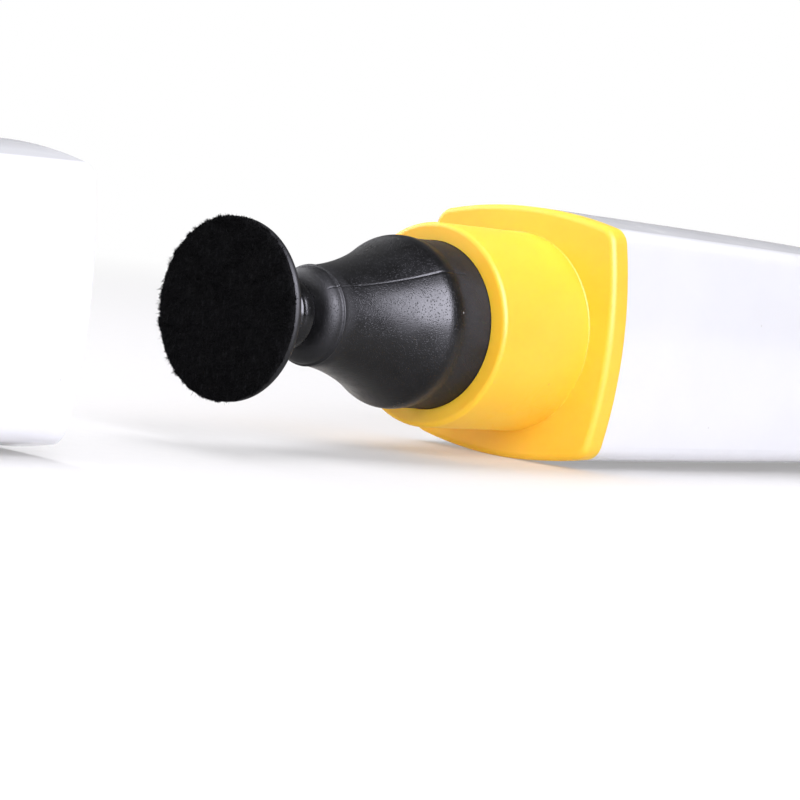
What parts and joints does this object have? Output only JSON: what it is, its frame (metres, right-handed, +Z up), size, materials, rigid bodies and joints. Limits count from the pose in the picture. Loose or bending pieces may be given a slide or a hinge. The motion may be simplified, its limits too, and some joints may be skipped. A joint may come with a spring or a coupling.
{
  "type": "lens cleaning pen",
  "caption": "Square pen with a napped cleaning disc on a flexible rubber holder, a pull-off cap with a carbon pad, and a hair brush that slides out of the other end.",
  "frame": {"origin": "middle of the part's underside, with the cap lying parked in front of the tip", "axes": "+X along the pen from the cap and cleaning tip towards the brush end, +Z up from the surface it lies on, +Y towards the side with the brush slider"},
  "size_m": [0.1598, 0.0198, 0.018],
  "materials": {
    "white_shell": "high gloss white moulding",
    "yellow_collar": "satin yellow moulding",
    "yellow_slider": "satin yellow moulding with ribs",
    "yellow_ring": "satin yellow moulding",
    "white_cap": "high gloss white moulding",
    "badge_white": "plain satin plate",
    "holder_rubber": "semi-matt, finely pitted",
    "tip_rubber": "semi-matt, smooth",
    "core_plastic": "moulded",
    "clip_steel": "stamped spring steel",
    "guide_plastic": "natural moulding",
    "pivot_plastic": "moulded",
    "velour": "black napped velour",
    "liner_plastic": "moulded",
    "cup_plastic": "moulded",
    "foam": "open-cell foam",
    "carbon_felt": "felt charged with carbon",
    "carriage_plastic": "moulded",
    "spring_steel": "spring strip",
    "ferrule_metal": "drawn tube, crimped",
    "glue": "set resin",
    "hair": "soft dark hair"
  },
  "bodies": {
    "pen": {"body_shell": "white_shell", "tip_collar": "yellow_collar", "tip_holder": "holder_rubber", "holder_core": "core_plastic", "core_clip": "clip_steel", "guide_tube": "guide_plastic", "tail_ring": "yellow_ring"},
    "tip": {"tip_cup": "tip_rubber", "tip_pivot": "pivot_plastic", "chamois_pad": "velour"},
    "cap": {"cap_shell": "white_cap", "cap_badge": "badge_white", "cap_liner": "liner_plastic", "pad_cup": "cup_plastic", "foam_backing": "foam", "carbon_pad": "carbon_felt"},
    "brush": {"slider_button": "yellow_slider", "brush_carriage": "carriage_plastic", "detent_spring": "spring_steel", "brush_ferrule": "ferrule_metal", "hair_plug": "glue", "brush_hair": "hair"}
  },
  "joints": [
    {"name": "cap_pull", "type": "slide", "parent": "pen", "child": "cap", "axis": [1, 0, 0], "range_m": [0, 0.04925]},
    {"name": "tip_tilt", "type": "hinge", "parent": "pen", "child": "tip", "pos_m": [-0.01568, -0.00088, 0.00902], "axis": [0, 1, 0], "range_deg": [-8, 8], "stiffness_Nm_per_rad": 0.04},
    {"name": "brush_slide", "type": "slide", "parent": "pen", "child": "brush", "axis": [1, 0, 0], "range_m": [0, 0.02]}
  ]
}
